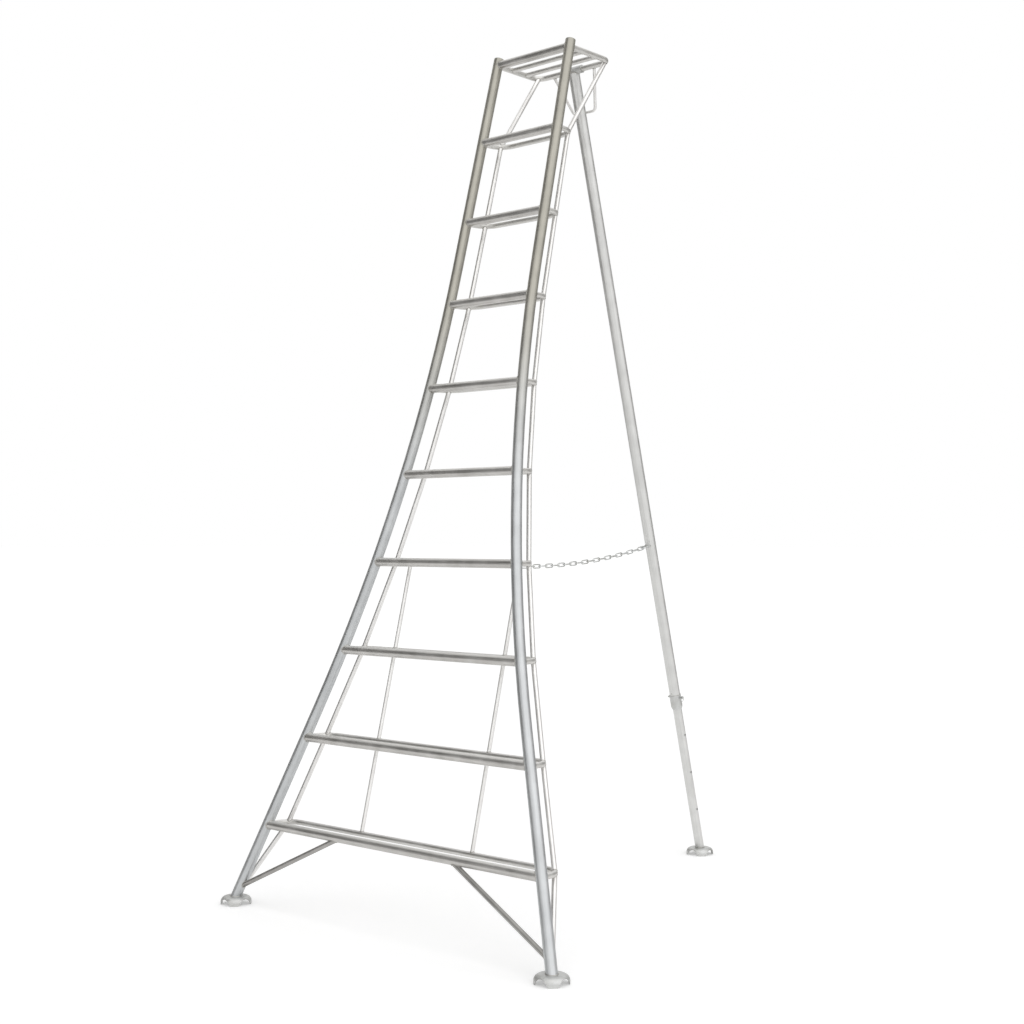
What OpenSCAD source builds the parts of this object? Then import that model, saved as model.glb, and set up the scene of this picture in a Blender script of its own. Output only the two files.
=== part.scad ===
// Tripod orchard ladder: a flared front frame of welded tubes with a small platform on top,
// and one hinged rear leg that telescopes, is pinned at a chosen length and is held by a chain.
// +X is the climber's right, +Y runs from the climber to the rear leg and +Z is up.
// The origin is on the ground, midway between the front feet and the rear foot.

/* [Steps] */
// Distance from step to step along the stiles
step_pitch = 300; // [260:1:310]
// First rung above the ground, along the stiles
first_step = 272; // [250:1:320]
// Angle of the front frame from the vertical
lean = 14; // [12:0.5:16]
// Outer diameter of a rung
rung_d = 29; // [26:0.5:32]
// Wall of a rung
rung_wall = 2; // [1.5:0.1:3]
// Distance from a rung's axis back to its bow's axis
tread_depth = 94; // [85:1:120]
// Outer diameter of a bow
bow_d = 18; // [17:0.5:20]
// Wall of a bow
bow_wall = 1.5; // [1:0.1:2.5]
// Bend radius at a bow's corners
bow_bend_r = 60; // [45:1:70]

/* [Stiles] */
// Outer diameter of a stile
stile_d = 35; // [32:0.5:38]
// Wall of a stile
stile_wall = 2; // [1.5:0.1:3]
// Distance between the stiles' axes at the platform
top_width = 330; // [310:1:380]
// Angle of the stiles above their bend
taper = 1.2; // [0:0.1:2]
// Angle of the stiles below their bend
flare = 19.6; // [16:0.1:21]
// Radius of the bend
stile_bend_r = 4900; // [3500:50:5400]
// Distance from the platform down to the middle of the bend
bend_drop = 1556; // [1450:1:1650]
// Length of a stile above the platform's front tube
stile_rise = 24; // [20:1:40]
// Height of the end cap on a stile
cap_h = 6; // [4:0.5:10]

/* [Rails and braces] */
// Outer diameter of the rails behind the stiles
rail_d = 16; // [14:0.5:16.5]
// Wall of the rails
rail_wall = 1.5; // [1:0.1:2.5]
// Outer diameter of the two inner struts
strut_d = 13; // [11:0.5:15]
// Wall of the inner struts
strut_wall = 1.5; // [1:0.1:2]
// Distance of an inner strut from the middle
strut_x = 245; // [200:1:250]
// Outer diameter of the foot braces
brace_d = 16; // [13:0.5:18]
// Wall of the foot braces
brace_wall = 1.5; // [1:0.1:2]
// Landing of a foot brace on its stile above the ground, along the stile
brace_land = 58; // [54:1:70]
// Where the axis of a foot stay would meet its stile's axis above the ground, along the stile
stay_aim = 24; // [20:1:50]
// Lower end of a foot stay above the ground
stay_end = 58; // [54:1:80]

/* [Platform] */
// Distance from the front tube's axis back to the rear tube's axis
platform_depth = 220; // [200:1:260]
// Outer diameter of the platform's bent tube
platform_d = 20; // [19:0.5:24]
// Wall of the platform's bent tube
platform_wall = 2; // [1.5:0.1:3]
// Bend radius at the platform's rear corners
platform_bend_r = 38; // [35:1:60]
// Outer diameter of a platform slat
slat_d = 17; // [14:0.5:18]
// Wall of a platform slat
slat_wall = 1.5; // [1:0.1:2.5]

/* [Feet] */
// Diameter of a foot's rim
foot_d = 102; // [90:1:120]
// Height of a foot
foot_h = 26; // [25:1:34]
// Wall of a foot
foot_wall = 3; // [2:0.1:4]
// Diameter of a foot's flat top
foot_top_d = 68; // [60:1:76]
// Radius of the arches between a foot's claws
arch_r = 25; // [20:0.5:26]
// Depth of an arch's centre below the ground
arch_sink = 5; // [4:0.5:8]

/* [Rear leg] */
// Angle of the rear leg from the vertical
leg_angle = 14.8; // [13.5:0.1:16]
// Outer diameter of the outer leg tube
leg_d = 40; // [38:0.5:44]
// Wall of the outer leg tube
leg_wall = 2; // [1.5:0.1:2.5]
// Outer diameter of the inner leg tube
inner_d = 34; // [31:0.5:34]
// Wall of the inner leg tube
inner_wall = 2; // [1.5:0.1:3]
// Distance from the rear foot up to the locking pin, along the leg
pin_rise = 635; // [600:1:700]
// Distance between the adjusting holes
hole_pitch = 150; // [120:1:150]
// Inner tube above its topmost hole
hole_margin = 120; // [100:1:200]
// Length of the hinge sleeve
sleeve_len = 80; // [60:1:100]
// Wall of the hinge sleeve
sleeve_wall = 4; // [3:0.1:6]
// Length of the locking collar
collar_len = 55; // [48:1:70]
// Wall of the locking collar
collar_wall = 1.5; // [1.2:0.1:3]
// Collar above the locking pin
collar_above = 10; // [8:1:16]
// Diameter of the locking pin
pin_d = 7; // [6:0.5:8]
// Diameter of the stop loop's rod
loop_d = 10; // [8:0.5:12]
// Distance from the hinge down to the stop loop's bar, along the leg
loop_drop = 150; // [130:1:180]
// Width of the stop loop at the rear tube
loop_top_w = 188; // [160:1:200]
// Width of the stop loop at its bar
loop_bar_w = 96; // [90:1:110]
// Bend radius of the stop loop
loop_bend_r = 18; // [12:0.5:24]

/* [Chain] */
// Diameter of the chain's wire
chain_wire = 4; // [3:0.1:4.5]
// Pitch of the chain
chain_pitch = 32.7; // [28:0.1:36]
// Inner width of a link
link_w = 8; // [7.5:0.1:9]
// Rise of the chain from its rung to the leg
chain_rise = 56; // [40:1:70]
// Diameter of the wire of the two chain eyes
eye_wire = 6; // [5:0.5:6.5]
// Clear reach of the leg's chain eye, which is longer than the frame's
leg_eye_reach = 28; // [20:1:32]

/* [Hidden] */
$fn = 64;
// Facets of a full turn at the stiles' long bend
stile_bend_fn = 720;

// Overrun of the cuts
over = 10;
// Gap left for the weld at every coped end
weld_gap = 0.2;
// Running clearance on a radius
run_gap = 0.1;
// Clearance of the locking pin in the adjusting holes, on a radius
hole_gap = 0.25;
// Clearance between the leg and the stop loop's bar
stop_gap = 0.3;
// Play in the chain, from wire to wire
link_play = 0.8;

// Lap of a straight over the end of a slanting bend, and how much thinner the bend is on a radius
bend_lap = 1;
bend_thin = 0.1;

// Steps: nine rungs, and the platform's front tube as the tenth
platform_step = 10;
chain_step = 4;
strut_steps = 3;
function step_u(k) = first_step + (k - 1) * step_pitch;
platform_u = step_u(platform_step);
platform_z = platform_u * cos(lean);

// Rear leg's hinge and the feet, measured back from where the stiles' plane meets the ground
hinge_run = platform_u * sin(lean) + platform_depth;
front_foot_run = foot_h * tan(lean);
rear_foot_run = hinge_run + (platform_z - foot_h) * tan(leg_angle);
front_y = -(front_foot_run + rear_foot_run) / 2;
hinge_y = front_y + hinge_run;
leg_len = platform_z / cos(leg_angle);

// Axis of the right stile in the frame's plane: two straights that meet at the bend's middle
bend_u = platform_u - bend_drop;
bend_x = top_width / 2 + bend_drop * tan(taper);
bend_trim = stile_bend_r * tan((flare - taper) / 2);
bend_top_u = bend_u + bend_trim * cos(taper);
bend_low_u = bend_u - bend_trim * cos(flare);
bend_centre_x = bend_x - bend_trim * sin(taper) + stile_bend_r * cos(taper);
bend_centre_u = bend_top_u + stile_bend_r * sin(taper);
stile_top_u = platform_u + stile_rise;

// Distance of the stile's axis from the middle at a distance u up the frame
function stile_x(u) =
    u > bend_top_u ? bend_x - (u - bend_u) * tan(taper) :
    u < bend_low_u ? bend_x + (bend_u - u) * tan(flare) :
    bend_centre_x - sqrt(stile_bend_r * stile_bend_r - pow(bend_centre_u - u, 2));

// Point on the frame's plane, x across and u up along the frame
function on_frame(x, u) = [x, front_y + u * sin(lean), u * cos(lean)];

// Axis of a step at the right stile
function step_end(k) = on_frame(stile_x(step_u(k)), step_u(k));

// Where the right rail meets a bow: the middle of the bow's corner bend
corner_share = 1 - cos(45);
function bow_corner(k) = step_end(k) + [-bow_bend_r * corner_share, tread_depth - bow_bend_r * corner_share, 0];
platform_corner = step_end(platform_step)
    + [-platform_bend_r * corner_share, platform_depth - platform_bend_r * corner_share, 0];

// Point on the rear leg's axis, s down from the hinge, and d behind the axis
function on_leg(s, d) = [
    0,
    hinge_y + s * sin(leg_angle) + d * cos(leg_angle),
    platform_z - s * cos(leg_angle) + d * sin(leg_angle)
];

// Rear leg, measured down from the hinge
leg_bore = leg_d - 2 * leg_wall;
sleeve_d = platform_d + 2 * run_gap + 2 * sleeve_wall;
pin_s = leg_len - pin_rise;
collar_top_s = pin_s - collar_above;
collar_end_s = collar_top_s + collar_len;
collar_d = leg_d + 2 * weld_gap + 2 * collar_wall;
// Collar below the end of the outer tube
collar_lip = 9;
leg_end_s = collar_end_s - collar_lip;
leg_top_s = sleeve_d / 4;
holes_up = 3;
holes_down = 3;
inner_top_s = pin_s - holes_up * hole_pitch - hole_margin;
// Glide on top of the inner tube: its head above the tube and its spigot inside
glide_head = 20;
glide_spigot = 30;

// Guide bush between the two leg tubes: its wall, its end above the collar, and its rivet
bush_wall = (leg_bore - inner_d) / 2 - 2 * run_gap;
bush_above = 16;
bush_top_s = collar_top_s - bush_above;
rivet_s = (collar_top_s + bush_top_s) / 2;
rivet_d = 3.2;
rivet_head_d = 7;
rivet_head_h = 2;

// Locking pin: its point past the collar on the left, its head on the right, and the head's ring
pin_reach = 12;
pin_tip = 3;
pin_head_stand = 4;
pin_head_d = 10.5;
pin_head_len = 9.5;
pin_ring_hole = 4.5;
pin_ring_wire = 1.8;
pin_ring_d = 16;
pin_head_x = collar_d / 2 + pin_head_stand;
pin_ring_x = pin_head_x + pin_head_len / 2;

// Chain eyes: a bent wire whose inner end stands off the tube that carries it
eye_reach = 9;
eye_w = 18;
eye_bend_r = 5;
eye_root = 12;
eye_s = (platform_z - step_end(chain_step).z - chain_rise) / cos(leg_angle);
chain_start = step_end(chain_step) + [-step_end(chain_step).x, tread_depth + bow_d / 2 + eye_reach, 0];
chain_end = on_leg(eye_s, -leg_d / 2 - leg_eye_reach);
chain_span = norm(chain_end - chain_start);
link_count = floor(chain_span / chain_pitch) + 1;
chain_sag = chain_span * sqrt(3 / 8 * (link_count * chain_pitch / chain_span - 1));
front_share = 0.47;
// Links up to the one at the bottom of the folded chain, an odd number so that this one lies flat
front_links = 2 * floor(link_count * front_share / 2) + 1;
link_len = chain_pitch + link_play;

// Point where link i begins, on a shallow parabola between the two eyes
function chain_joint(i) =
    let (t = i / link_count)
    chain_start + t * (chain_end - chain_start) - [0, 0, 4 * chain_sag * t * (1 - t)];

aluminium = "#c4c6c6";
dull_aluminium = "#b4b6b6";
zinc = "#a9aba9";
grey_plastic = "#7f8284";

// Round section, solid where it has no wall
module section(d, wall) {
    difference() {
        circle(d = d);
        if (wall > 0) circle(d = d - 2 * wall);
    }
}

// Straight tube from one point to another, solid where it has no wall
module tube_between(a, b, d, wall = 0) {
    v = b - a;
    translate(a)
        rotate([0, acos(v.z / norm(v)), atan2(v.y, v.x)])
            linear_extrude(norm(v))
                section(d, wall);
}

// Tube that starts along z and bends toward x: a straight run, a bend, the next run and so on.
// With a lap, the straights reach over the ends of the bends, which are a hair thinner.
module bent_tube(runs, bends, bend_r, d, wall = 0, lap = 0, bend_fn = $fn, i = 0) {
    back = i > 0 ? lap : 0;
    ahead = i < len(bends) ? lap : 0;
    thin = lap > 0 ? bend_thin : 0;
    translate([0, 0, -back]) linear_extrude(back + runs[i] + ahead) section(d, wall);
    if (i < len(bends))
        translate([bend_r, 0, runs[i]]) {
            rotate([90, 0, 180])
                rotate_extrude(angle = bends[i], $fn = bend_fn)
                    translate([bend_r, 0])
                        section(d - 2 * thin, max(0, wall - 2 * thin));
            rotate([0, bends[i], 0])
                translate([-bend_r, 0, 0])
                    bent_tube(runs, bends, bend_r, d, wall, lap, bend_fn, i + 1);
        }
}

// U-shaped tube that opens toward -y: two sides and the run between them
module u_tube(width, depth, bend_r, d, wall = 0) {
    side = depth - bend_r;
    translate([width / 2, 0, 0])
        rotate([90, 0, 180])
            bent_tube([side, width - 2 * bend_r, side], [90, 90], bend_r, d, wall);
}

// Puts a shape on the left where side is -1
module on_side(side) {
    if (side < 0) mirror([1, 0, 0]) children();
    else children();
}

// Puts a shape into the leaning frame, with its z up along the stiles
module in_frame() {
    translate([0, front_y, 0])
        rotate([-lean, 0, 0])
            children();
}

// Puts a shape on the rear leg, with its z up along the leg from the hinge
module in_leg() {
    translate([0, hinge_y, platform_z])
        rotate([leg_angle, 0, 0])
            children();
}

// Everything below a level
module below(level) {
    side = 2 * rear_foot_run;
    translate([-side, -side, level - side]) cube([2 * side, 2 * side, side]);
}

// Right stile from its top down, reaching past its foot
module stile_shape(d, wall = 0) {
    runs = [(stile_top_u - bend_top_u) / cos(taper), (bend_low_u + over) / cos(flare)];
    in_frame()
        translate([stile_x(stile_top_u), 0, stile_top_u])
            rotate([180, -taper, 0])
                bent_tube(runs, [flare - taper], stile_bend_r, d, wall, bend_lap, stile_bend_fn);
}

// Both stiles with the gap of a weld, for coping what meets them
module stile_copes() {
    for (side = [-1, 1]) on_side(side) stile_shape(stile_d + 2 * weld_gap);
}

module stile(side) {
    color(aluminium)
        on_side(side)
            difference() {
                stile_shape(stile_d, stile_wall);
                below(foot_h);
            }
}

// Domed cap with a spigot in the stile's top
module stile_cap(side) {
    spigot_d = stile_d - 2 * stile_wall - 2 * weld_gap;
    spigot = 2 * cap_h;
    dome_r = (pow(stile_d / 2, 2) + cap_h * cap_h) / (2 * cap_h);
    color(dull_aluminium)
        on_side(side)
            in_frame()
                translate([stile_x(stile_top_u), 0, stile_top_u])
                    rotate([0, -taper, 0]) {
                        intersection() {
                            cylinder(h = cap_h, d = stile_d);
                            translate([0, 0, cap_h - dome_r]) sphere(r = dome_r);
                        }
                        translate([0, 0, -spigot]) cylinder(h = spigot, d = spigot_d);
                    }
}

// Front tube of a step, between the stiles
module step_shape(k, d, wall = 0) {
    end = step_end(k);
    tube_between([-end.x, end.y, end.z], end, d, wall);
}

module rung(k) {
    color(aluminium)
        difference() {
            step_shape(k, rung_d, rung_wall);
            stile_copes();
        }
}

// Bent tube behind a step: two short sides with round corners and a long rear run
module bow_shape(k, depth, bend_r, d, wall = 0) {
    end = step_end(k);
    translate([0, end.y, end.z]) u_tube(2 * end.x, depth, bend_r, d, wall);
}

module bow_cope(k) {
    bow_shape(k, tread_depth, bow_bend_r, bow_d + 2 * weld_gap);
}

module bow(k) {
    color(aluminium)
        difference() {
            bow_shape(k, tread_depth, bow_bend_r, bow_d, bow_wall);
            stile_copes();
        }
}

module platform_front_tube() {
    rung(platform_step);
}

module platform_cope() {
    bow_shape(platform_step, platform_depth, platform_bend_r, platform_d + 2 * weld_gap);
}

module platform_frame() {
    color(aluminium)
        difference() {
            bow_shape(platform_step, platform_depth, platform_bend_r, platform_d, platform_wall);
            stile_copes();
        }
}

// Cross tube of the platform, at a share of its depth
module platform_slat(depth_share) {
    end = step_end(platform_step) + [0, platform_depth * depth_share, 0];
    color(aluminium)
        difference() {
            tube_between([-end.x, end.y, end.z], end, slat_d, slat_wall);
            platform_cope();
        }
}

// Rail behind a stile, in pieces from bow to bow
module rail(side) {
    color(aluminium)
        on_side(side)
            for (k = [1 : platform_step - 2])
                difference() {
                    tube_between(bow_corner(k), bow_corner(k + 1), rail_d, rail_wall);
                    bow_cope(k);
                    bow_cope(k + 1);
                }
}

// Tube from the topmost bow's corner up to the platform's rear corner
module platform_stay(side) {
    top_rung = platform_step - 1;
    color(aluminium)
        on_side(side)
            difference() {
                tube_between(bow_corner(top_rung), platform_corner, rail_d, rail_wall);
                bow_cope(top_rung);
                platform_cope();
            }
}

// Tube from the lowest bow's corner down along the stile's back, cut level above the foot
module foot_stay(side) {
    color(aluminium)
        on_side(side)
            difference() {
                tube_between(on_frame(stile_x(stay_aim), stay_aim), bow_corner(1), rail_d, rail_wall);
                stile_copes();
                bow_cope(1);
                below(stay_end);
            }
}

// Upright tube behind the lower rungs, in pieces from bow to bow
module strut(side) {
    color(aluminium)
        on_side(side)
            for (k = [1 : strut_steps]) {
                low = step_end(k) + [strut_x - step_end(k).x, tread_depth, 0];
                high = step_end(k + 1) + [strut_x - step_end(k + 1).x, tread_depth, 0];
                difference() {
                    tube_between(low, high, strut_d, strut_wall);
                    bow_cope(k);
                    bow_cope(k + 1);
                }
            }
}

// Slanting tube from the lowest rung to the stile just above the foot
module foot_brace(side) {
    color(aluminium)
        on_side(side)
            difference() {
                tube_between(on_frame(stile_x(brace_land), brace_land), on_frame(strut_x, step_u(1)), brace_d, brace_wall);
                stile_copes();
                step_shape(1, rung_d + 2 * weld_gap);
            }
}

// Cup-shaped foot, standing on four claws between four arches
module foot_shape() {
    difference() {
        foot_dome(foot_d / 2, foot_top_d / 2, foot_h);
        translate([0, 0, -foot_wall]) foot_dome(foot_d / 2 - foot_wall, foot_top_d / 2 - foot_wall, foot_h);
        for (a = [0, 90])
            rotate([90, 0, a])
                translate([0, -arch_sink, -foot_d])
                    cylinder(h = 2 * foot_d, r = arch_r);
    }
}

// Solid of revolution with a flat top and a round shoulder
module foot_dome(rim_r, top_r, h) {
    shoulder = rim_r - top_r;
    rotate_extrude()
        difference() {
            square([rim_r, h]);
            difference() {
                translate([top_r, h - shoulder]) square([shoulder + over, shoulder + over]);
                translate([top_r, h - shoulder]) circle(r = shoulder);
            }
        }
}

module foot(side) {
    color(dull_aluminium)
        on_side(side)
            translate([stile_x(foot_h / cos(lean)), front_y + front_foot_run, 0])
                foot_shape();
}

// Bent rod under the rear tube: the leg rests against its bar when it is open
module stop_loop() {
    behind = leg_d / 2 + stop_gap + loop_d / 2;
    drop = norm([loop_drop, behind]);
    slope = atan((loop_top_w - loop_bar_w) / 2 / drop);
    bend = 90 - slope;
    trim = loop_bend_r * tan(bend / 2);
    arm = drop / cos(slope) - trim;
    color(aluminium)
        difference() {
            translate([0, hinge_y, platform_z])
                rotate([leg_angle + atan(behind / loop_drop), 0, 0])
                    translate([loop_top_w / 2, 0, 0])
                        rotate([0, 180 + slope, 0])
                            bent_tube([arm, loop_bar_w - 2 * trim, arm], [bend, bend], loop_bend_r, loop_d, 0, bend_lap);
            platform_cope();
        }
}

// Bent wire that a chain hangs from, standing off a tube's surface along y
module eye_shape(reach) {
    translate([0, -eye_root, 0])
        u_tube(eye_w, eye_root + reach + eye_wire / 2, eye_bend_r, eye_wire);
}

module frame_eye() {
    color(zinc)
        difference() {
            translate(chain_start - [0, eye_reach, 0]) eye_shape(eye_reach);
            bow_cope(chain_step);
        }
}

module leg_eye() {
    color(zinc)
        in_leg()
            difference() {
                translate([0, -leg_d / 2, -eye_s])
                    rotate([0, link_count % 2 == 0 ? 90 : 0, 180])
                        eye_shape(leg_eye_reach);
                translate([0, 0, -eye_s - eye_w]) cylinder(h = 2 * eye_w, d = leg_d + 2 * weld_gap);
            }
}

// Cross hole for the locking pin
module pin_hole(s, gap) {
    translate([-collar_d, 0, -s])
        rotate([0, 90, 0])
            cylinder(h = 2 * collar_d, d = pin_d + 2 * gap);
}

module hinge_barrel(d) {
    translate([-sleeve_len / 2, 0, 0]) rotate([0, 90, 0]) cylinder(h = sleeve_len, d = d);
}

module leg_tube() {
    color(aluminium)
        in_leg()
            difference() {
                translate([0, 0, -leg_end_s]) linear_extrude(leg_end_s - leg_top_s) section(leg_d, leg_wall);
                hinge_barrel(sleeve_d + 2 * weld_gap);
                pin_hole(pin_s, run_gap);
                rivet_hole();
            }
}

module hinge_sleeve() {
    color(dull_aluminium)
        in_leg()
            difference() {
                hinge_barrel(sleeve_d);
                translate([-sleeve_len, 0, 0])
                    rotate([0, 90, 0])
                        cylinder(h = 2 * sleeve_len, d = platform_d + 2 * run_gap);
            }
}

// Sleeve on the outer tube's end, whose tapered lip closes on the guide bush
module lock_collar() {
    lip_bore = inner_d + 4 * run_gap;
    color(dull_aluminium)
        in_leg()
            difference() {
                union() {
                    translate([0, 0, -leg_end_s]) cylinder(h = collar_len - collar_lip, d = collar_d);
                    translate([0, 0, -collar_end_s])
                        cylinder(h = collar_lip, d1 = lip_bore + 2 * collar_wall, d2 = collar_d);
                }
                translate([0, 0, -leg_end_s - weld_gap]) cylinder(h = collar_len, d = leg_d + 2 * weld_gap);
                translate([0, 0, -collar_end_s - over]) cylinder(h = collar_len, d = lip_bore);
                pin_hole(pin_s, run_gap);
            }
}

// Plastic guide between the two leg tubes
module guide_bush() {
    color(grey_plastic)
        in_leg()
            difference() {
                translate([0, 0, -leg_end_s])
                    linear_extrude(leg_end_s - bush_top_s)
                        section(leg_bore - 2 * run_gap, bush_wall);
                pin_hole(pin_s, run_gap);
                rivet_hole();
            }
}

// Round bar on the leg's front, from one distance off its axis to another
module front_bar(from, to, d) {
    translate([0, -from, -rivet_s])
        rotate([90, 0, 0])
            cylinder(h = to - from, d = d);
}

module rivet_hole() {
    front_bar(0, leg_d, rivet_d + 2 * run_gap);
}

// Rivet with a domed head that holds the guide bush in the outer tube
module bush_rivet() {
    head_top = leg_d / 2 + rivet_head_h;
    dome_r = (pow(rivet_head_d / 2, 2) + rivet_head_h * rivet_head_h) / (2 * rivet_head_h);
    color(zinc)
        in_leg() {
            front_bar(leg_bore / 2 - run_gap - bush_wall / 2, head_top - rivet_head_h / 2, rivet_d);
            difference() {
                intersection() {
                    front_bar(0, head_top, rivet_head_d);
                    translate([0, dome_r - head_top, -rivet_s]) sphere(r = dome_r);
                }
                translate([0, 0, -rivet_s - rivet_head_d])
                    cylinder(h = 2 * rivet_head_d, d = leg_d + 2 * run_gap);
            }
        }
}

module inner_tube() {
    tail = leg_len + over;
    color(aluminium)
        difference() {
            in_leg()
                difference() {
                    translate([0, 0, -tail]) linear_extrude(tail - inner_top_s) section(inner_d, inner_wall);
                    for (i = [-holes_up : holes_down]) pin_hole(pin_s + i * hole_pitch, hole_gap);
                }
            below(foot_h);
        }
}

// Plastic plug on the inner tube's top, which guides it in the outer tube
module inner_tube_glide() {
    color(grey_plastic)
        in_leg()
            translate([0, 0, -inner_top_s]) {
                cylinder(h = glide_head, d = leg_bore - 2 * run_gap);
                translate([0, 0, -glide_spigot])
                    cylinder(h = glide_spigot, d = inner_d - 2 * inner_wall - 2 * weld_gap);
            }
}

module foot_rear() {
    color(dull_aluminium)
        translate([0, front_y + rear_foot_run, 0])
            foot_shape();
}

// Cross pin with a round head, drilled for its ring
module lock_pin() {
    pin_len = collar_d + pin_head_stand + pin_reach - pin_tip;
    color(zinc)
        in_leg()
            translate([0, 0, -pin_s])
                difference() {
                    translate([pin_head_x, 0, 0])
                        rotate([0, -90, 0]) {
                            cylinder(h = pin_len, d = pin_d);
                            translate([0, 0, pin_len]) cylinder(h = pin_tip, d1 = pin_d, d2 = pin_d / 2);
                            translate([0, 0, -pin_head_len]) cylinder(h = pin_head_len, d = pin_head_d);
                        }
                    translate([pin_ring_x, pin_head_d, 0])
                        rotate([90, 0, 0])
                            cylinder(h = 2 * pin_head_d, d = pin_ring_hole);
                }
}

// Pull ring hanging in the pin's head, with its arc centred in the hole
module pin_ring() {
    ring_r = pin_ring_d / 2;
    arc_drop = ring_r - sqrt(ring_r * ring_r - pow(pin_head_d / 2, 2));
    color(zinc)
        in_leg()
            translate([pin_ring_x, 0, -pin_s - ring_r + arc_drop / 2])
                rotate([0, 90, 0])
                    rotate_extrude()
                        translate([ring_r, 0])
                            circle(d = pin_ring_wire);
}

// Long link lying along x
module link() {
    straight = link_len - link_w;
    bend_r = (link_w + chain_wire) / 2;
    for (side = [-1, 1]) {
        translate([-straight / 2, side * bend_r, 0])
            rotate([0, 90, 0])
                cylinder(h = straight, d = chain_wire);
        translate([side * straight / 2, 0, 0])
            rotate([0, 0, -side * 90])
                rotate_extrude(angle = 180)
                    translate([bend_r, 0])
                        circle(d = chain_wire);
    }
}

// Links from one number up to another, each turned a quarter against the last
module chain_run(first, last) {
    color(zinc)
        for (i = [first : last]) {
            a = chain_joint(i);
            b = chain_joint(i + 1);
            translate((a + b) / 2)
                rotate([atan2(b.z - a.z, b.y - a.y), 0, 0])
                    rotate([0, 0, 90])
                        rotate([(i + 1) % 2 * 90, 0, 0])
                            link();
        }
}

module chain_front() {
    chain_run(0, front_links - 1);
}

// Link that hangs between the two runs of the folded chain
module chain_middle() {
    chain_run(front_links, front_links);
}

module chain_rear() {
    chain_run(front_links + 1, link_count - 1);
}

stile(-1);  // stile_left
stile(1);  // stile_right
stile_cap(-1);  // stile_cap_left
stile_cap(1);  // stile_cap_right
rung(1);  // rung_1
rung(2);  // rung_2
rung(3);  // rung_3
rung(4);  // rung_4
rung(5);  // rung_5
rung(6);  // rung_6
rung(7);  // rung_7
rung(8);  // rung_8
rung(9);  // rung_9
bow(1);  // bow_1
bow(2);  // bow_2
bow(3);  // bow_3
bow(4);  // bow_4
bow(5);  // bow_5
bow(6);  // bow_6
bow(7);  // bow_7
bow(8);  // bow_8
bow(9);  // bow_9
platform_front_tube();
platform_frame();
platform_slat(1 / 3);  // platform_slat_front
platform_slat(2 / 3);  // platform_slat_rear
rail(-1);  // rail_left
rail(1);  // rail_right
platform_stay(-1);  // platform_stay_left
platform_stay(1);  // platform_stay_right
foot_stay(-1);  // foot_stay_left
foot_stay(1);  // foot_stay_right
strut(-1);  // strut_left
strut(1);  // strut_right
foot_brace(-1);  // foot_brace_left
foot_brace(1);  // foot_brace_right
foot(-1);  // foot_left
foot(1);  // foot_right
stop_loop();
frame_eye();
leg_tube();
hinge_sleeve();
leg_eye();
lock_collar();
guide_bush();
bush_rivet();
inner_tube();
inner_tube_glide();
foot_rear();
lock_pin();
pin_ring();
chain_front();
chain_middle();
chain_rear();
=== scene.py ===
# %% [markdown]
# # Tripod orchard ladder
# The CAD model already holds every tube, foot and link of the ladder in its real place.
# This lesson loads it as a fixed frame, adds the weld beads that join the tubes and a plate that
# closes the leg, gives each material its finish, and sets up the light and the camera.

# %% Load the frame
import math

import bpy
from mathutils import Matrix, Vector


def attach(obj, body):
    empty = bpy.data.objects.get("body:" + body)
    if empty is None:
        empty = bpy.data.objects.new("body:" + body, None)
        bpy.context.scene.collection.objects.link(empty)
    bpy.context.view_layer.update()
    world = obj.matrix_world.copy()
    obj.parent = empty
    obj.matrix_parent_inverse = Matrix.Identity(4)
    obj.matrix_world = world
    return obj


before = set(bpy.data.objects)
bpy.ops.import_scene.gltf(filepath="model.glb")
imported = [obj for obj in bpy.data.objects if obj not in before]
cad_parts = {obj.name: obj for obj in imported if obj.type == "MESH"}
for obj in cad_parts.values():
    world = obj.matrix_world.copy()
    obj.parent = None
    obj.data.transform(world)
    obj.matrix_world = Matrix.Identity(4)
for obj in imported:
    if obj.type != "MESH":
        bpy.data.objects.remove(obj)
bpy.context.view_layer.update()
print("CAD nodes:", len(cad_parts))

# %% [markdown]
# ## The ladder's lines
# The welds sit where two tubes meet, so this script needs the tubes' axes. They follow from a
# few sizes of the real ladder: the step spacing, the lean, and the stiles' taper, bend and flare.

# %% Sizes of the front frame, in metres and radians
MM = 0.001
LEAN = math.radians(14)
TAPER = math.radians(1.2)
FLARE = math.radians(19.6)
STEP_PITCH = 300 * MM
FIRST_STEP = 272 * MM
PLATFORM_STEP = 10
TOP_HALF_WIDTH = 165 * MM
BEND_DROP = 1556 * MM
BEND_RADIUS = 4900 * MM
TREAD_DEPTH = 94 * MM
BOW_BEND_RADIUS = 60 * MM
PLATFORM_DEPTH = 220 * MM
PLATFORM_BEND_RADIUS = 38 * MM
FOOT_HEIGHT = 26 * MM
LEG_ANGLE = math.radians(14.8)
print("steps:", PLATFORM_STEP, "every", STEP_PITCH, "m")

# %% Radii of the tubes
STILE_RADIUS = 17.5 * MM
RUNG_RADIUS = 14.5 * MM
BOW_RADIUS = 9 * MM
RAIL_RADIUS = 8 * MM
STRUT_RADIUS = 6.5 * MM
BRACE_RADIUS = 8 * MM
PLATFORM_RADIUS = 10 * MM
SLAT_RADIUS = 8.5 * MM
LEG_RADIUS = 20 * MM
INNER_RADIUS = 17 * MM
SLEEVE_RADIUS = 14.1 * MM

# %% Height of the steps and place of the hinge
def step_up(step):
    """Distance of a step up along the frame."""
    return FIRST_STEP + (step - 1) * STEP_PITCH


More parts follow.
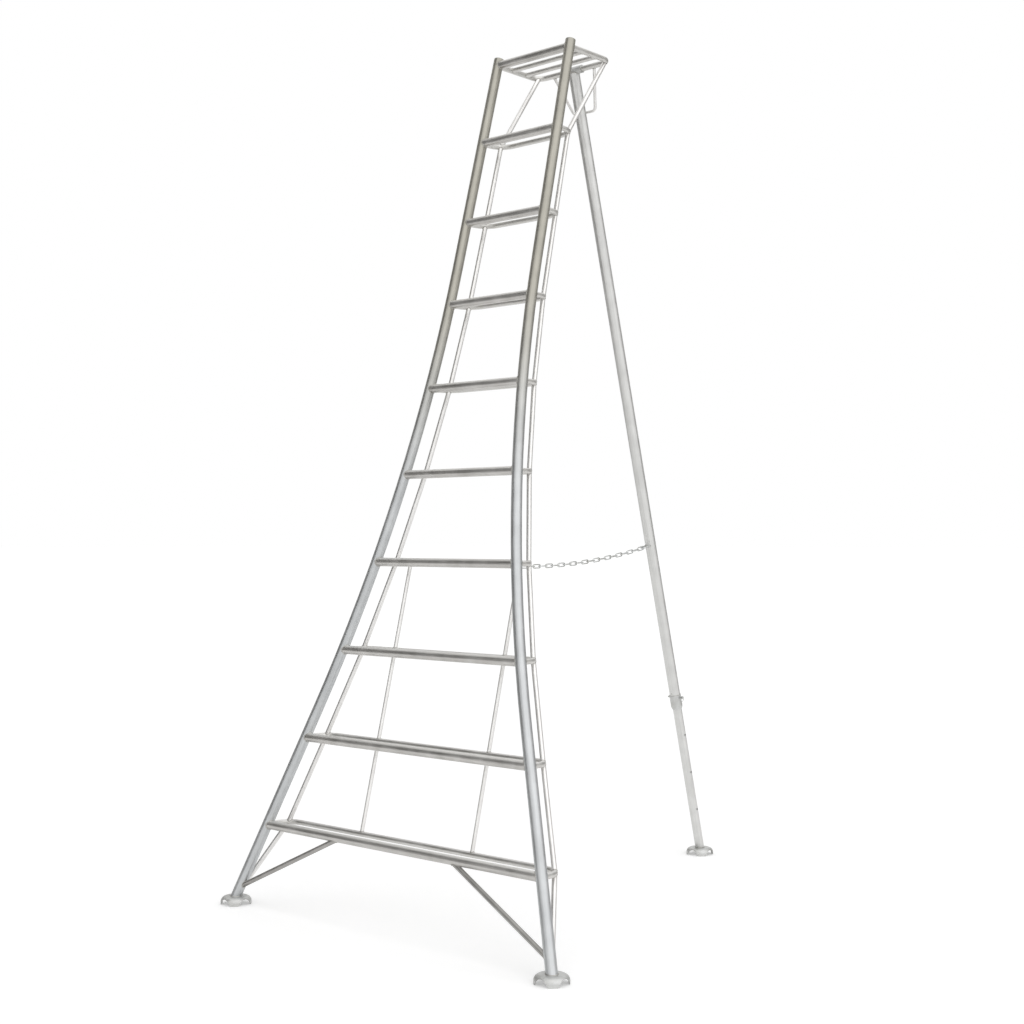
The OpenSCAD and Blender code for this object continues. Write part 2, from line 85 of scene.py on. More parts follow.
platform_up = step_up(PLATFORM_STEP)
platform_height = platform_up * math.cos(LEAN)
hinge_run = platform_up * math.sin(LEAN) + PLATFORM_DEPTH
front_foot_run = FOOT_HEIGHT * math.tan(LEAN)
rear_foot_run = hinge_run + (platform_height - FOOT_HEIGHT) * math.tan(LEG_ANGLE)
front_y = -(front_foot_run + rear_foot_run) / 2
hinge = Vector((0, front_y + hinge_run, platform_height))
print("hinge at", tuple(round(v, 4) for v in hinge))

# %% Axis of the right stile
bend_up = platform_up - BEND_DROP
bend_x = TOP_HALF_WIDTH + BEND_DROP * math.tan(TAPER)
bend_trim = BEND_RADIUS * math.tan((FLARE - TAPER) / 2)
bend_top = bend_up + bend_trim * math.cos(TAPER)
bend_low = bend_up - bend_trim * math.cos(FLARE)
bend_centre_x = bend_x - bend_trim * math.sin(TAPER) + BEND_RADIUS * math.cos(TAPER)
bend_centre_up = bend_top + BEND_RADIUS * math.sin(TAPER)


def stile_x(up):
    """Distance of the stile's axis from the middle."""
    if up > bend_top:
        return bend_x - (up - bend_up) * math.tan(TAPER)
    if up < bend_low:
        return bend_x + (bend_up - up) * math.tan(FLARE)
    return bend_centre_x - math.sqrt(BEND_RADIUS ** 2 - (bend_centre_up - up) ** 2)


def on_frame(x, up):
    """Point of the leaning frame."""
    return Vector((x, front_y + up * math.sin(LEAN), up * math.cos(LEAN)))


def on_stile(up):
    """Point of the right stile's axis."""
    return on_frame(stile_x(up), up)


def stile_direction(up):
    """Way that the right stile runs at a height."""
    return (on_stile(up + MM) - on_stile(up - MM)).normalized()


print("half width at the lowest and the topmost rung:",
      round(stile_x(step_up(1)), 3), round(stile_x(step_up(PLATFORM_STEP - 1)), 3))

# %% Corners of the bows and the platform, where the rails meet them
CORNER_SHARE = 1 - math.cos(math.radians(45))


def corner(step, depth, bend_radius):
    """Middle of a corner bend behind a step."""
    inset = bend_radius * CORNER_SHARE
    return on_stile(step_up(step)) + Vector((-inset, depth - inset, 0))


bow_corners = {step: corner(step, TREAD_DEPTH, BOW_BEND_RADIUS) for step in range(1, PLATFORM_STEP)}
platform_corner = corner(PLATFORM_STEP, PLATFORM_DEPTH, PLATFORM_BEND_RADIUS)
print("platform corner at", tuple(round(v, 3) for v in platform_corner))

# %% [markdown]
# ## Weld beads
# Each tube is coped to its neighbour and joined by a bead that was laid in short, overlapping
# puddles, so it looks like a row of fish scales. It could be a curve with a round section, but a
# torus is quicker: its ring already follows the thin tube, and every point then slides along that
# tube until it lies on the other piece. A wave along the ring makes the scales.

# %% Where a bead lies
X_AXIS, Y_AXIS = Vector((1, 0, 0)), Vector((0, 1, 0))


def onto_tube(main_axis, main_radius, aside=Vector()):
    """How far a point of a thin tube slides along it to lie on a thick one, whose axis it may miss."""
    main_axis = main_axis.normalized()

    def slide(branch, ring_point):
        along = branch - main_axis * branch.dot(main_axis)
        across = ring_point + aside
        across -= main_axis * across.dot(main_axis)
        a, b, c = along.dot(along), along.dot(across), across.dot(across) - main_radius ** 2
        return (-b + math.sqrt(max(b * b - a * c, 0))) / a

    return slide


def onto_level(branch, ring_point):
    """The same for a tube that stands on a level plate."""
    return -ring_point.z / branch.z


def square_to_tube(branch, ring_point):
    """A plain ring round the tube itself."""
    return 0


# %% Make one bead
SCALE_LENGTH = 4 * MM
RING_STEP = 1.3 * MM
MIN_RING_STEPS = 24
BEAD_SIDES = 8
BEAD = 2 * MM
SMALL_BEAD = 1.5 * MM
# Thickness of a bead between two scales, and what the middle of a scale adds, as shares of the bead
TROUGH_SHARE, SCALE_SHARE = 0.85, 0.2


def weld_bead(at, branch, branch_radius, slide, bead=BEAD):
    """Bead round a tube that leaves another piece at a point, in a direction."""
    branch = branch.normalized()
    ring_steps = max(MIN_RING_STEPS, round(math.tau * branch_radius / RING_STEP))
    scales = round(math.tau * branch_radius / SCALE_LENGTH)
    bpy.ops.object.select_all(action="DESELECT")
    bpy.ops.mesh.primitive_torus_add(
        major_radius=branch_radius, minor_radius=bead,
        major_segments=ring_steps, minor_segments=BEAD_SIDES)
    ring = bpy.context.object
    turn = branch.to_track_quat("Z", "Y").to_matrix()
    for vertex in ring.data.vertices:
        angle = math.atan2(vertex.co.y, vertex.co.x)
        centre = Vector((math.cos(angle), math.sin(angle), 0)) * branch_radius
        ripple = TROUGH_SHARE + SCALE_SHARE * abs(math.sin(angle * scales / 2))
        ring_point = turn @ centre
        vertex.co = (at + ring_point + branch * slide(branch, ring_point)
                     + turn @ (vertex.co - centre) * ripple)
    bpy.ops.object.shade_smooth()
    return ring


def mirrored(vector):
    """The same point or direction on the left."""
    return Vector((-vector.x, vector.y, vector.z))


def bead_pair(at, branch, branch_radius, main_axis, main_radius, bead=BEAD):
    """The same bead on the right tubes and on the left ones."""
    right, left = onto_tube(main_axis, main_radius), onto_tube(mirrored(main_axis), main_radius)
    return [weld_bead(at, branch, branch_radius, right, bead),
            weld_bead(mirrored(at), mirrored(branch), branch_radius, left, bead)]


def join_beads(name, beads, body):
    """One object of many beads, which rides on a body."""
    bpy.ops.object.select_all(action="DESELECT")
    for bead in beads:
        bead.select_set(True)
    bpy.context.view_layer.objects.active = beads[0]
    bpy.ops.object.join()
    joined = bpy.context.object
    joined.name = name
    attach(joined, body)
    print(name, len(beads), "beads,", len(joined.data.polygons), "faces")
    return joined


# %% [markdown]
# ### Rungs and bows on the stiles
# A rung meets its stile from the inside, and its bow leaves the stile's back at the same level.
# The platform's front tube and bent tube are joined in the same way.

# %% Weld the rungs and the bows
rung_beads, bow_beads = [], []
for step in range(1, PLATFORM_STEP + 1):
    up = step_up(step)
    bow_radius = PLATFORM_RADIUS if step == PLATFORM_STEP else BOW_RADIUS
    rung_beads += bead_pair(on_stile(up), -X_AXIS, RUNG_RADIUS, stile_direction(up), STILE_RADIUS)
    bow_beads += bead_pair(on_stile(up), Y_AXIS, bow_radius, stile_direction(up), STILE_RADIUS, SMALL_BEAD)
welds = [join_beads("rung_welds", rung_beads, "frame"), join_beads("bow_welds", bow_beads, "frame")]

# %% [markdown]
# ### Rails and stays
# A rail is a row of short tubes from bow to bow, so every bow corner has a bead above it and one
# below it. The lowest tube runs down along the stile's back at a small angle and is cut level
# above the foot, so its bead stops at that level.

# %% Weld the rails and the platform stays
corner_axis = X_AXIS - Y_AXIS
rail_beads = []
for step in range(1, PLATFORM_STEP):
    above = bow_corners.get(step + 1, platform_corner)
    rail_beads += bead_pair(bow_corners[step], above - bow_corners[step], RAIL_RADIUS,
                            corner_axis, BOW_RADIUS, SMALL_BEAD)
    upper_radius = PLATFORM_RADIUS if step == PLATFORM_STEP - 1 else BOW_RADIUS
    rail_beads += bead_pair(above, bow_corners[step] - above, RAIL_RADIUS,
                            corner_axis, upper_radius, SMALL_BEAD)
welds.append(join_beads("rail_welds", rail_beads, "frame"))

# %% Weld the foot stays
STAY_AIM = 24 * MM
STAY_END = 58 * MM
stay_aim = on_stile(STAY_AIM)
stay_way = (bow_corners[1] - stay_aim).normalized()
on_back = onto_tube(stile_direction(STAY_AIM), STILE_RADIUS)
on_other_back = onto_tube(mirrored(stile_direction(STAY_AIM)), STILE_RADIUS)


def down_to_cut(slide):
    """Keeps a bead above the level at which the stay is cut."""
    def clipped(branch, ring_point):
        return max(slide(branch, ring_point), (STAY_END - stay_aim.z - ring_point.z) / branch.z)
    return clipped


stay_beads = bead_pair(bow_corners[1], -stay_way, RAIL_RADIUS, corner_axis, BOW_RADIUS, SMALL_BEAD)
stay_beads.append(weld_bead(stay_aim, stay_way, RAIL_RADIUS, down_to_cut(on_back), SMALL_BEAD))
stay_beads.append(weld_bead(mirrored(stay_aim), mirrored(stay_way), RAIL_RADIUS,
                            down_to_cut(on_other_back), SMALL_BEAD))
welds.append(join_beads("foot_stay_welds", stay_beads, "frame"))

# %% [markdown]
# ### Struts, braces and slats
# Two upright struts stiffen the wide lower treads, a brace props the lowest rung from each foot,
# and two slats cross the platform. All of them end in the same round beads.

# %% Weld the struts and the foot braces
STRUT_X = 245 * MM
STRUT_STEPS = 3
BRACE_LANDING = 58 * MM
uphill = Vector((0, math.sin(LEAN), math.cos(LEAN)))
strut_beads = []
for step in range(1, STRUT_STEPS + 1):
    for end, way in ((step, uphill), (step + 1, -uphill)):
        on_bow = on_frame(STRUT_X, step_up(end)) + Y_AXIS * TREAD_DEPTH
        strut_beads += bead_pair(on_bow, way, STRUT_RADIUS, X_AXIS, BOW_RADIUS, SMALL_BEAD)
brace_low, brace_high = on_stile(BRACE_LANDING), on_frame(STRUT_X, step_up(1))
strut_beads += bead_pair(brace_low, brace_high - brace_low, BRACE_RADIUS,
                         stile_direction(BRACE_LANDING), STILE_RADIUS)
strut_beads += bead_pair(brace_high, brace_low - brace_high, BRACE_RADIUS, X_AXIS, RUNG_RADIUS)
welds.append(join_beads("strut_welds", strut_beads, "frame"))

# %% Weld the platform's slats
SLAT_SHARES = (1 / 3, 2 / 3)
slat_beads = []
for share in SLAT_SHARES:
    on_platform = on_stile(platform_up) + Y_AXIS * PLATFORM_DEPTH * share
    slat_beads += bead_pair(on_platform, -X_AXIS, SLAT_RADIUS, Y_AXIS, PLATFORM_RADIUS, SMALL_BEAD)
welds.append(join_beads("platform_welds", slat_beads, "frame"))

# %% [markdown]
# ### Stop loop and chain eyes
# The bent rod that stops the leg hangs from the platform's rear tube, and the chain hangs between
# two bent wires, one on a bow and one on the leg. Their beads are small.

# %% Weld the stop loop
LOOP_HALF_WIDTH = 94 * MM
LOOP_RADIUS = 5 * MM
LOOP_SLOPE = math.radians(16.8)
LOOP_TILT = math.radians(24.4)
loop_way = Vector((-math.sin(LOOP_SLOPE), math.cos(LOOP_SLOPE) * math.sin(LOOP_TILT),
                   -math.cos(LOOP_SLOPE) * math.cos(LOOP_TILT)))
loop_beads = bead_pair(hinge + X_AXIS * LOOP_HALF_WIDTH, loop_way, LOOP_RADIUS,
                       X_AXIS, PLATFORM_RADIUS, SMALL_BEAD)
print("stop loop", len(loop_beads), "beads")

# %% Weld the chain's eyes
CHAIN_STEP = 4
CHAIN_RISE = 56 * MM
EYE_HALF_WIDTH = 9 * MM
EYE_RADIUS = 3 * MM
EYE_BEAD = 1 * MM
leg_up = Vector((0, -math.sin(LEG_ANGLE), math.cos(LEG_ANGLE)))
leg_front = Vector((0, -math.cos(LEG_ANGLE), -math.sin(LEG_ANGLE)))
chain_bow = on_frame(0, step_up(CHAIN_STEP)) + Y_AXIS * TREAD_DEPTH
eye_down = (platform_height - chain_bow.z - CHAIN_RISE) / math.cos(LEG_ANGLE)
loop_beads += bead_pair(chain_bow + X_AXIS * EYE_HALF_WIDTH, Y_AXIS, EYE_RADIUS,
                        X_AXIS, BOW_RADIUS, EYE_BEAD)
welds.append(join_beads("loop_and_eye_welds", loop_beads, "frame"))
leg_eye_root = hinge - leg_up * eye_down
leg_beads = []
for side in (-1, 1):
    aside = X_AXIS * side * EYE_HALF_WIDTH
    onto_leg = onto_tube(leg_up, LEG_RADIUS, aside)
    leg_beads.append(weld_bead(leg_eye_root + aside, leg_front, EYE_RADIUS, onto_leg, EYE_BEAD))

# %% [markdown]
# ### Leg and feet
# The leg's head is coped under the hinge sleeve, and the locking collar is welded round the leg's
# lower end. The stiles and the inner leg tube are cut level and stand on their feet's flat tops.

# %% Weld the leg's head and its collar
LEG_HEAD_DROP = 7 * MM
PIN_RISE = 635 * MM
COLLAR_ABOVE = 10 * MM
on_sleeve = onto_tube(X_AXIS, SLEEVE_RADIUS)


def under_sleeve(branch, ring_point):
    """Follows the sleeve, and the tube's cut end where it stands out past the sleeve."""
    return max(on_sleeve(branch, ring_point), LEG_HEAD_DROP)


leg_length = platform_height / math.cos(LEG_ANGLE)
collar_top = hinge - leg_up * (leg_length - PIN_RISE - COLLAR_ABOVE)
leg_beads.append(weld_bead(hinge, -leg_up, LEG_RADIUS, under_sleeve))
leg_beads.append(weld_bead(collar_top, leg_up, LEG_RADIUS, square_to_tube, SMALL_BEAD))
welds.append(join_beads("leg_welds", leg_beads, "leg"))

# %% [markdown]
# The leg is wider than the sleeve over it, so its mouth stays open on both sides. A thin round plate,
# welded in just under the sleeve, keeps rain and leaves out of the leg. A flat cylinder as wide as
# the tube's bore gives that plate, once its points are turned to the leg's axis.

# %% Close the leg's mouth
MOUTH_PLATE_DROP = 20 * MM
MOUTH_PLATE_THICKNESS = 2 * MM
MOUTH_PLATE_SIDES = 64
LEG_WALL = 2 * MM
bpy.ops.object.select_all(action="DESELECT")
bpy.ops.mesh.primitive_cylinder_add(
    vertices=MOUTH_PLATE_SIDES, radius=LEG_RADIUS - LEG_WALL, depth=MOUTH_PLATE_THICKNESS)
mouth_plate = bpy.context.object
mouth_plate.name = "leg_mouth_plate"
plate_centre = hinge - leg_up * MOUTH_PLATE_DROP
plate_turn = leg_up.to_track_quat("Z", "Y").to_matrix()
for vertex in mouth_plate.data.vertices:
    vertex.co = plate_centre + plate_turn @ vertex.co
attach(mouth_plate, "leg")
print(mouth_plate.name, len(mouth_plate.data.polygons), "faces")

# %% Weld the feet
foot_up = FOOT_HEIGHT / math.cos(LEAN)
foot_top, foot_way = on_stile(foot_up), stile_direction(foot_up)
rear_foot_top = Vector((0, front_y + rear_foot_run, FOOT_HEIGHT))
front_feet = [weld_bead(foot_top, foot_way, STILE_RADIUS, onto_level),
              weld_bead(mirrored(foot_top), mirrored(foot_way), STILE_RADIUS, onto_level)]
welds.append(join_beads("front_foot_welds", front_feet, "frame"))
rear_foot = [weld_bead(rear_foot_top, leg_up, INNER_RADIUS, onto_level)]
welds.append(join_beads("rear_foot_weld", rear_foot, "inner_leg"))

# %% [markdown]
# ## Finishes
# Nearly all of the ladder is bare aluminium tube. It was drawn through a die, so faint lines run
# along it, and its oxide has clouded. Procedural noise gives those lines on any length, without an
# image.

# %% Colours and nodes
def linear(hex_colour):
    """sRGB hex to the linear colour that Blender's sockets take."""
    parts = [int(hex_colour[i:i + 2], 16) / 255 for i in (1, 3, 5)]
    return [p / 12.92 if p <= 0.04045 else ((p + 0.055) / 1.055) ** 2.4 for p in parts] + [1]


def add_node(owner, kind, settings=(), inputs=(), links=()):
    """Adds a node with its settings, its input values and the links into it."""
    node = owner.node_tree.nodes.new(kind)
    for key, value in dict(settings).items():
        setattr(node, key, value)
    for key, value in dict(inputs).items():
        node.inputs[key].default_value = value
    for key, source in dict(links).items():
        owner.node_tree.links.new(source, node.inputs[key])
    return node


def new_material(name):
    """A new material and its shader."""
    material = bpy.data.materials.new(name)
    material.use_nodes = True
    return material, material.node_tree.nodes["Principled BSDF"]


# Noise is mostly between these values, so colours and roughness change between them
NOISE_LOW, NOISE_HIGH = 0.3, 0.7
TONE_STOPS = (0.36, 0.64)


def tones_and_roughness(material, pattern, light, dark, smoothest, roughest):
    """Colour and roughness that follow one pattern."""
    tones = add_node(material, "ShaderNodeValToRGB", {}, {}, {"Fac": pattern})
    for element, position, colour in zip(tones.color_ramp.elements, TONE_STOPS, (dark, light)):
        element.position = position
        element.color = linear(colour)
    roughness = add_node(material, "ShaderNodeMapRange", {},
                         {"From Min": NOISE_LOW, "From Max": NOISE_HIGH,
                          "To Min": smoothest, "To Max": roughest}, {"Value": pattern})
    return tones.outputs["Color"], roughness.outputs["Result"]


def link_shader(material, shader, colour, roughness, normal):
    """Joins the three patterns of a finish to its shader."""
    for socket, source in (("Base Color", colour), ("Roughness", roughness), ("Normal", normal)):
        material.node_tree.links.new(source, shader.inputs[socket])


# %% [markdown]
# ### Drawn aluminium tube
# Mill-finish aluminium gives the eye a soft, broad highlight, a grey that turns a little warm where
# the oxide is thick, and faint lengthwise lines. A texture turned to each tube could give the lines,
# but the stiles are curved. The surface normal is the same all along a straight tube, so a noise
# that is read by the normal gives lines that follow every tube. Real die lines are far too fine to
# show from a few metres, so they are drawn 2.5 mm wide. On the rungs and treads, a painted highlight
# lightens the side that faces up, and the lower side keeps the darker tone. The stiles turn darker and
# warmer towards the top, which is a painted reflection.

# %% Make the tube finish
LINE_WIDTH = 2.5 * MM
LINE_LENGTH = 200 * MM
LINE_DEPTH = 0.1 * MM
CLOUD = 60 * MM
TUBE_METALLIC = 0.9
TUBE_SMOOTHEST, TUBE_ROUGHEST = 0.32, 0.46
# The painted highlight on the upper side starts where the normal points up by the first share, and is full
# at the second
UPPER_FROM, UPPER_TO = 0.35, 0.95
# The painted highlight is patchy: it is the upper side's share times the roughness, and full at this
# product
FULL_HIGHLIGHT = 0.4
# The painted reflection tint on the stiles starts and is full at these heights
TINT_FROM, TINT_TO = 1300 * MM, 2100 * MM
# A Mix node has sockets for every kind of data, and these are the ones that mix colours
MIX_FACTOR, MIX_A, MIX_B, MIX_RESULT = 0, 6, 7, 2


def drawn_aluminium(name, light, dark, painted_highlight=None, painted_reflection_tint=None):
    """Aluminium tube with lengthwise lines; its upper side can get a painted highlight, its upper end a
    painted reflection tint.
    """
    material, shader = new_material(name)
    place = add_node(material, "ShaderNodeTexCoord")
    drift = add_node(material, "ShaderNodeVectorMath", {"operation": "SCALE"}, {"Scale": 1 / LINE_LENGTH},
                     {"Vector": place.outputs["Object"]})
    drawn = add_node(material, "ShaderNodeVectorMath", {"operation": "MULTIPLY_ADD"},
                     {1: [RUNG_RADIUS / LINE_WIDTH] * 3},
                     {0: place.outputs["Normal"], 2: drift.outputs["Vector"]})
    lines = add_node(material, "ShaderNodeTexNoise", {}, {"Scale": 1, "Detail": 3, "Roughness": 0.6},
                     {"Vector": drawn.outputs["Vector"]})
    clouds = add_node(material, "ShaderNodeTexNoise", {}, {"Scale": 1 / CLOUD, "Detail": 4},
                      {"Vector": place.outputs["Object"]})
    both = add_node(material, "ShaderNodeMix", {"data_type": "FLOAT"}, {"Factor": 0.5},
                    {"A": lines.outputs["Fac"], "B": clouds.outputs["Fac"]})
    colour, roughness = tones_and_roughness(material, both.outputs["Result"], light, dark,
                                            TUBE_SMOOTHEST, TUBE_ROUGHEST)
    bump = add_node(material, "ShaderNodeBump", {}, {"Strength": 0.2, "Distance": LINE_DEPTH},
                    {"Height": lines.outputs["Fac"]})
    # Painted highlight: the side that faces up is mixed, in patches, towards a lighter colour.
    if painted_highlight:
        upward = add_node(material, "ShaderNodeSeparateXYZ", {}, {}, {"Vector": place.outputs["Normal"]})
        upper = add_node(material, "ShaderNodeMapRange", {"interpolation_type": "SMOOTHSTEP"},
                         {"From Min": UPPER_FROM, "From Max": UPPER_TO}, {"Value": upward.outputs["Z"]})
        patchy_highlight = add_node(material, "ShaderNodeMath", {"operation": "MULTIPLY", "use_clamp": True}, {},
                        {0: upper.outputs["Result"], 1: roughness})
        highlight_share = add_node(material, "ShaderNodeMapRange", {}, {"From Max": FULL_HIGHLIGHT},
                              {"Value": patchy_highlight.outputs["Value"]})
        mixed = add_node(material, "ShaderNodeMix", {"data_type": "RGBA"}, {MIX_B: linear(painted_highlight)},
                         {MIX_FACTOR: highlight_share.outputs["Result"], MIX_A: colour})
        colour = mixed.outputs[MIX_RESULT]
    # Painted reflection: the tube is darkened and warmed towards its top.
    if painted_reflection_tint:
        where = add_node(material, "ShaderNodeSeparateXYZ", {}, {}, {"Vector": place.outputs["Object"]})
        height = add_node(material, "ShaderNodeMapRange", {"interpolation_type": "SMOOTHSTEP"},
                          {"From Min": TINT_FROM, "From Max": TINT_TO}, {"Value": where.outputs["Z"]})
        tinted = add_node(material, "ShaderNodeMix", {"data_type": "RGBA", "blend_type": "MULTIPLY"},
                          {MIX_B: linear(painted_reflection_tint)}, {MIX_FACTOR: height.outputs["Result"], MIX_A: colour})
        colour = tinted.outputs[MIX_RESULT]
    shader.inputs["Metallic"].default_value = TUBE_METALLIC
    link_shader(material, shader, colour, roughness, bump.outputs["Normal"])
    print("finish", name)
    return material


# Painted light and shade: the six tube finishes are one aluminium in tones set to how bright each part
# looks; the braces, and the rungs and platform front tube, are darker (painted shade), and the treads, the
# leg and the rails are lighter (painted light).
stile_finish = drawn_aluminium("drawn_aluminium_stile", "#cacccd", "#b4b6b7", painted_reflection_tint="#dfd9cc")
rung_finish = drawn_aluminium("drawn_aluminium_rung", "#cfcdca", "#b1afab", painted_highlight="#e2e1de")
tread_finish = drawn_aluminium("drawn_aluminium_tread", "#d6d5d2", "#c0beba", painted_highlight="#e6e5e3")
brace_finish = drawn_aluminium("drawn_aluminium_brace", "#b1afac", "#989693")
leg_finish = drawn_aluminium("drawn_aluminium_leg", "#dddddb", "#cbcbc9")
rail_finish = drawn_aluminium("drawn_aluminium_rail", "#efeeec", "#dfdddb")

# %% [markdown]
# ### Weld metal, castings, zinc and plastic
# Weld metal is the same aluminium, brighter where it froze last and dull with soot beside that.
# The feet and sleeves are plain castings with a fine sand texture. The chain, pin and eyes are
# zinc-plated steel, whose plating has a bluish and a yellowish tint in patches. The guides inside
# the leg are grey moulded plastic.

# %% Make the grainy finishes
PATCH_GRAINS = 12


def grainy(name, light, dark, grain, metallic, smoothest, roughest, bump_height):
    """Finish with an even grain: two tones, two roughnesses and a small bump."""
    material, shader = new_material(name)
    place = add_node(material, "ShaderNodeTexCoord")
    fine = add_node(material, "ShaderNodeTexNoise", {}, {"Scale": 1 / grain, "Detail": 3},
                    {"Vector": place.outputs["Object"]})
    broad = add_node(material, "ShaderNodeTexNoise", {}, {"Scale": 1 / (PATCH_GRAINS * grain), "Detail": 2},
                     {"Vector": place.outputs["Object"]})
    both = add_node(material, "ShaderNodeMix", {"data_type": "FLOAT"}, {"Factor": 0.6},
                    {"A": fine.outputs["Fac"], "B": broad.outputs["Fac"]})
    colour, roughness = tones_and_roughness(material, both.outputs["Result"], light, dark,
                                            smoothest, roughest)
    bump = add_node(material, "ShaderNodeBump", {}, {"Strength": 0.4, "Distance": bump_height},
                    {"Height": fine.outputs["Fac"]})
    shader.inputs["Metallic"].default_value = metallic
    link_shader(material, shader, colour, roughness, bump.outputs["Normal"])
    print("finish", name)
    return material


weld_metal = grainy("aluminium_weld", "#c9c8c4", "#8f8c86", grain=2.5 * MM, metallic=0.85,
                    smoothest=0.35, roughest=0.55, bump_height=0.2 * MM)
cast_aluminium = grainy("cast_aluminium", "#d2d3d2", "#bdbdba", grain=2 * MM, metallic=0.85,
                        smoothest=0.42, roughest=0.58, bump_height=0.15 * MM)
zinc_plating = grainy("zinc_plated_steel", "#d6d8d8", "#babab5", grain=3 * MM, metallic=0.9,
                      smoothest=0.25, roughest=0.42, bump_height=0.05 * MM)
moulded_plastic = grainy("moulded_grey_plastic", "#8b8e90", "#797c7e", grain=1 * MM, metallic=0,
                         smoothest=0.45, roughest=0.55, bump_height=0.05 * MM)

# %% Dress the nodes
NODE_FINISHES = (
    (("frame_eye", "leg_eye", "lock_pin", "pin_ring", "chain", "bush_rivet"), zinc_plating),
    (("guide_bush", "inner_tube_glide"), moulded_plastic),
    (("leg_tube", "inner_tube"), leg_finish),
    (("foot_left", "foot_right", "foot_rear", "hinge_sleeve", "lock_collar", "stile_cap"), cast_aluminium),
    (("rung", "platform_front_tube"), rung_finish),
    (("bow", "platform_frame", "platform_slat"), tread_finish),
    (("foot_brace",), brace_finish),
    (("rail", "strut", "platform_stay", "foot_stay", "stop_loop"), rail_finish),
)


def finish_for(node):
    """The finish of a CAD node, by the start of its name."""
    for starts, finish in NODE_FINISHES:
        if node.startswith(starts):
            return finish
    return stile_finish


for name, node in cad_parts.items():
    node.data.materials.clear()
    node.data.materials.append(finish_for(name))
for weld in welds:
    weld.data.materials.clear()
    weld.data.materials.append(weld_metal)
mouth_plate.data.materials.append(leg_finish)
print("dressed", len(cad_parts), "nodes and", len(welds), "weld groups")

# %% [markdown]
# ## Light, floor and camera
# Metal shows what stands round it, so the studio matters as much as the finish. A broad soft lamp
# lights evenly from above and from the right, and the sky is plain white. The floor is white like the
# sky and keeps the feet's shadows. Grey walls, which only reflections show, give the tubes the darker
# edges that make them look round. The darkest and tallest one stands at the front, left of the middle,
# and gives the rungs their dark upper halves.

# %% Sky
def seen_directly(owner):
    """1 for rays from the camera, from gloss and through glass, and 0 for diffuse light."""
    path = add_node(owner, "ShaderNodeLightPath")
    seen = add_node(owner, "ShaderNodeMath", {"operation": "MAXIMUM"}, {},
                    {0: path.outputs["Is Camera Ray"], 1: path.outputs["Is Glossy Ray"]})
    return add_node(owner, "ShaderNodeMath", {"operation": "MAXIMUM"}, {},
                    {0: seen.outputs["Value"], 1: path.outputs["Is Transmission Ray"]})


SKY_LIGHT = 0.7
world = bpy.data.worlds.new("studio_sky")
bpy.context.scene.world = world
world.use_nodes = True
strength = add_node(world, "ShaderNodeMapRange", {}, {"To Min": SKY_LIGHT, "To Max": 1},
                    {"Value": seen_directly(world).outputs["Value"]})
background = world.node_tree.nodes["Background"]
background.inputs["Color"].default_value = (1, 1, 1, 1)
world.node_tree.links.new(strength.outputs["Result"], background.inputs["Strength"])
print("sky light", SKY_LIGHT)

# %% Floor
FLOOR_SIZE = 400
FLOOR_GLOW = 0.24
bpy.ops.object.select_all(action="DESELECT")
bpy.ops.mesh.primitive_plane_add(size=FLOOR_SIZE)
floor = bpy.context.object
floor.name = "floor"
floor_paint, floor_shader = new_material("white_floor")
floor_shader.inputs["Base Color"].default_value = linear("#f4f4f4")
floor_shader.inputs["Roughness"].default_value = 1
floor_shader.inputs["Specular IOR Level"].default_value = 0
floor_shader.inputs["Emission Color"].default_value = (1, 1, 1, 1)
glow = add_node(floor_paint, "ShaderNodeMath", {"operation": "MULTIPLY"}, {1: FLOOR_GLOW},
                {0: seen_directly(floor_paint).outputs["Value"]})
floor_paint.node_tree.links.new(glow.outputs["Value"], floor_shader.inputs["Emission Strength"])
floor.data.materials.append(floor_paint)
print("floor", FLOOR_SIZE, "m wide")

# %% Grey walls
WALL_RADIUS, WALL_PANELS = 7, 72
LOW_WALL, TALL_WALL = 7, 13


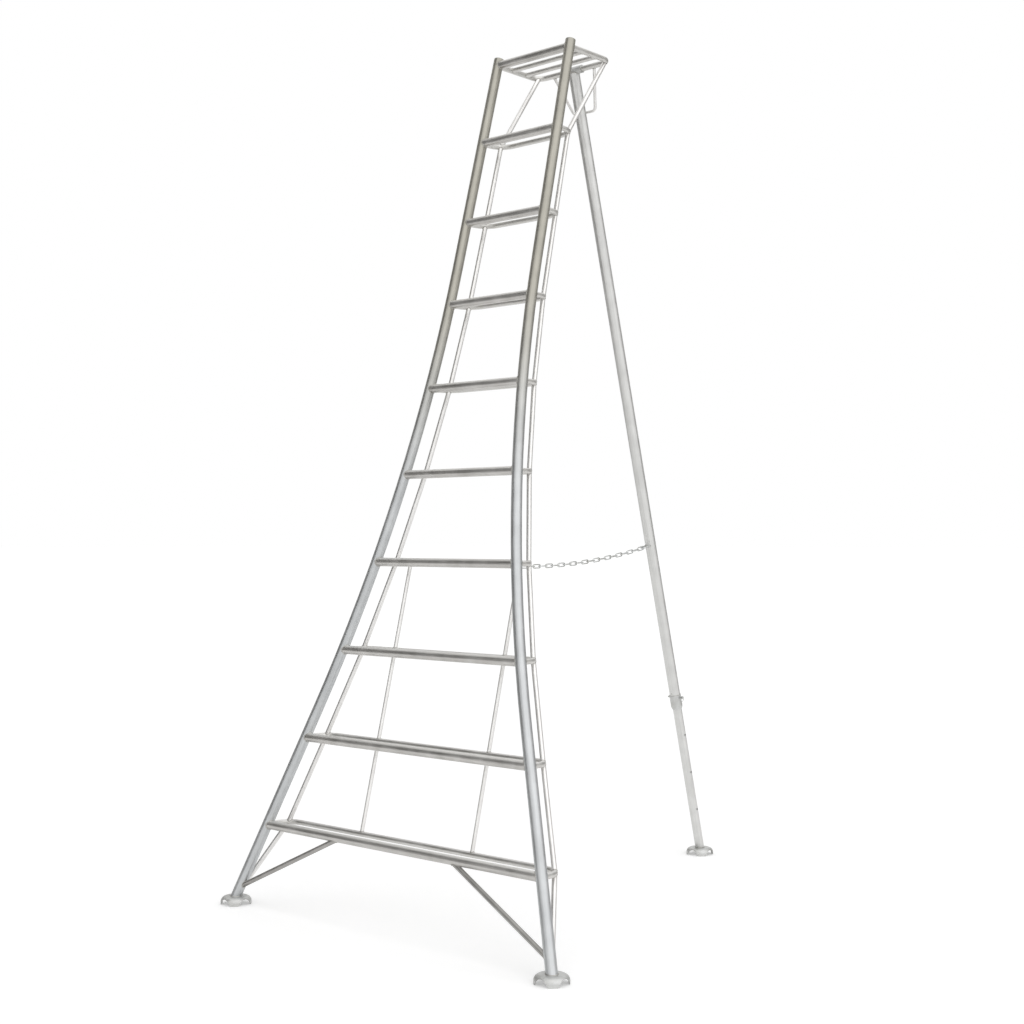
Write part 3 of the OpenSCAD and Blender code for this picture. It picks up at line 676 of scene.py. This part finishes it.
def grey_wall(name, tone, height, first_bearing, last_bearing):
    """Part of a round wall between two bearings, in degrees, that shows in reflections only."""
    bpy.ops.object.select_all(action="DESELECT")
    bpy.ops.mesh.primitive_cylinder_add(vertices=WALL_PANELS, radius=WALL_RADIUS, depth=height,
                                        end_fill_type="NOTHING", location=(0, 0, height / 2))
    wall = bpy.context.object
    wall.name = name
    bpy.ops.object.mode_set(mode="EDIT")
    bpy.ops.mesh.select_mode(type="FACE")
    bpy.ops.mesh.select_all(action="DESELECT")
    bpy.ops.object.mode_set(mode="OBJECT")
    for face in wall.data.polygons:
        bearing = math.degrees(math.atan2(face.center.y, face.center.x)) % 360
        face.select = not first_bearing < bearing < last_bearing
    bpy.ops.object.mode_set(mode="EDIT")
    bpy.ops.mesh.delete(type="FACE")
    bpy.ops.object.mode_set(mode="OBJECT")
    paint, shader = new_material(name + "_cloth")
    shader.inputs["Base Color"].default_value = linear(tone)
    shader.inputs["Roughness"].default_value = 1
    wall.data.materials.append(paint)
    for kind in ("camera", "diffuse", "transmission", "shadow"):
        setattr(wall, "visible_" + kind, False)
    print(name, len(wall.data.polygons), "panels")


grey_wall("left_wall", "#b8b7b5", LOW_WALL, first_bearing=150, last_bearing=212)
grey_wall("front_wall", "#4e4d4b", TALL_WALL, first_bearing=212, last_bearing=247)
grey_wall("right_wall", "#bfbebc", LOW_WALL, first_bearing=40, last_bearing=105)

# %% Lamp
KEY_STRENGTH = 0.8
KEY_SPREAD = math.radians(90)
KEY_WAY = Vector((-0.6, 0.25, -0.8))
key_data = bpy.data.lights.new("key_lamp", "SUN")
key_data.energy = KEY_STRENGTH
key_data.angle = KEY_SPREAD
key_lamp = bpy.data.objects.new("key_lamp", key_data)
bpy.context.collection.objects.link(key_lamp)
key_lamp.rotation_euler = KEY_WAY.to_track_quat("-Z", "Y").to_euler()
print("lamp", key_lamp.name)

# %% [markdown]
# The camera stands where the picture was taken. Its place, turn, lens and shift were found by
# fitting the ladder's lines to the picture, so the model's points fall on or near the same pixels.

# %% Camera
IMAGE_SIZE = 1024
FOCAL_PIXELS = 1525.08
CENTRE_OFFSET = (13.25, -38.51)
SENSOR_WIDTH = 36
# Where the camera stands, from the point of the floor that lies midway between the stiles
STANDPOINT = (3.4383, -3.2017, 1.2108)
YAW, PITCH = math.radians(41.545), math.radians(2.49)
camera_data = bpy.data.cameras.new("camera")
camera_data.sensor_width = SENSOR_WIDTH
camera_data.lens = FOCAL_PIXELS / IMAGE_SIZE * SENSOR_WIDTH
camera_data.shift_x = -CENTRE_OFFSET[0] / IMAGE_SIZE
camera_data.shift_y = CENTRE_OFFSET[1] / IMAGE_SIZE
camera = bpy.data.objects.new("camera", camera_data)
bpy.context.collection.objects.link(camera)
camera.location = (STANDPOINT[0], STANDPOINT[1] + front_y, STANDPOINT[2])
camera.rotation_euler = (math.pi / 2 + PITCH, 0, YAW)
bpy.context.scene.camera = camera
bpy.context.scene.view_settings.view_transform = "Standard"
print("camera at", tuple(round(v, 3) for v in camera.location))
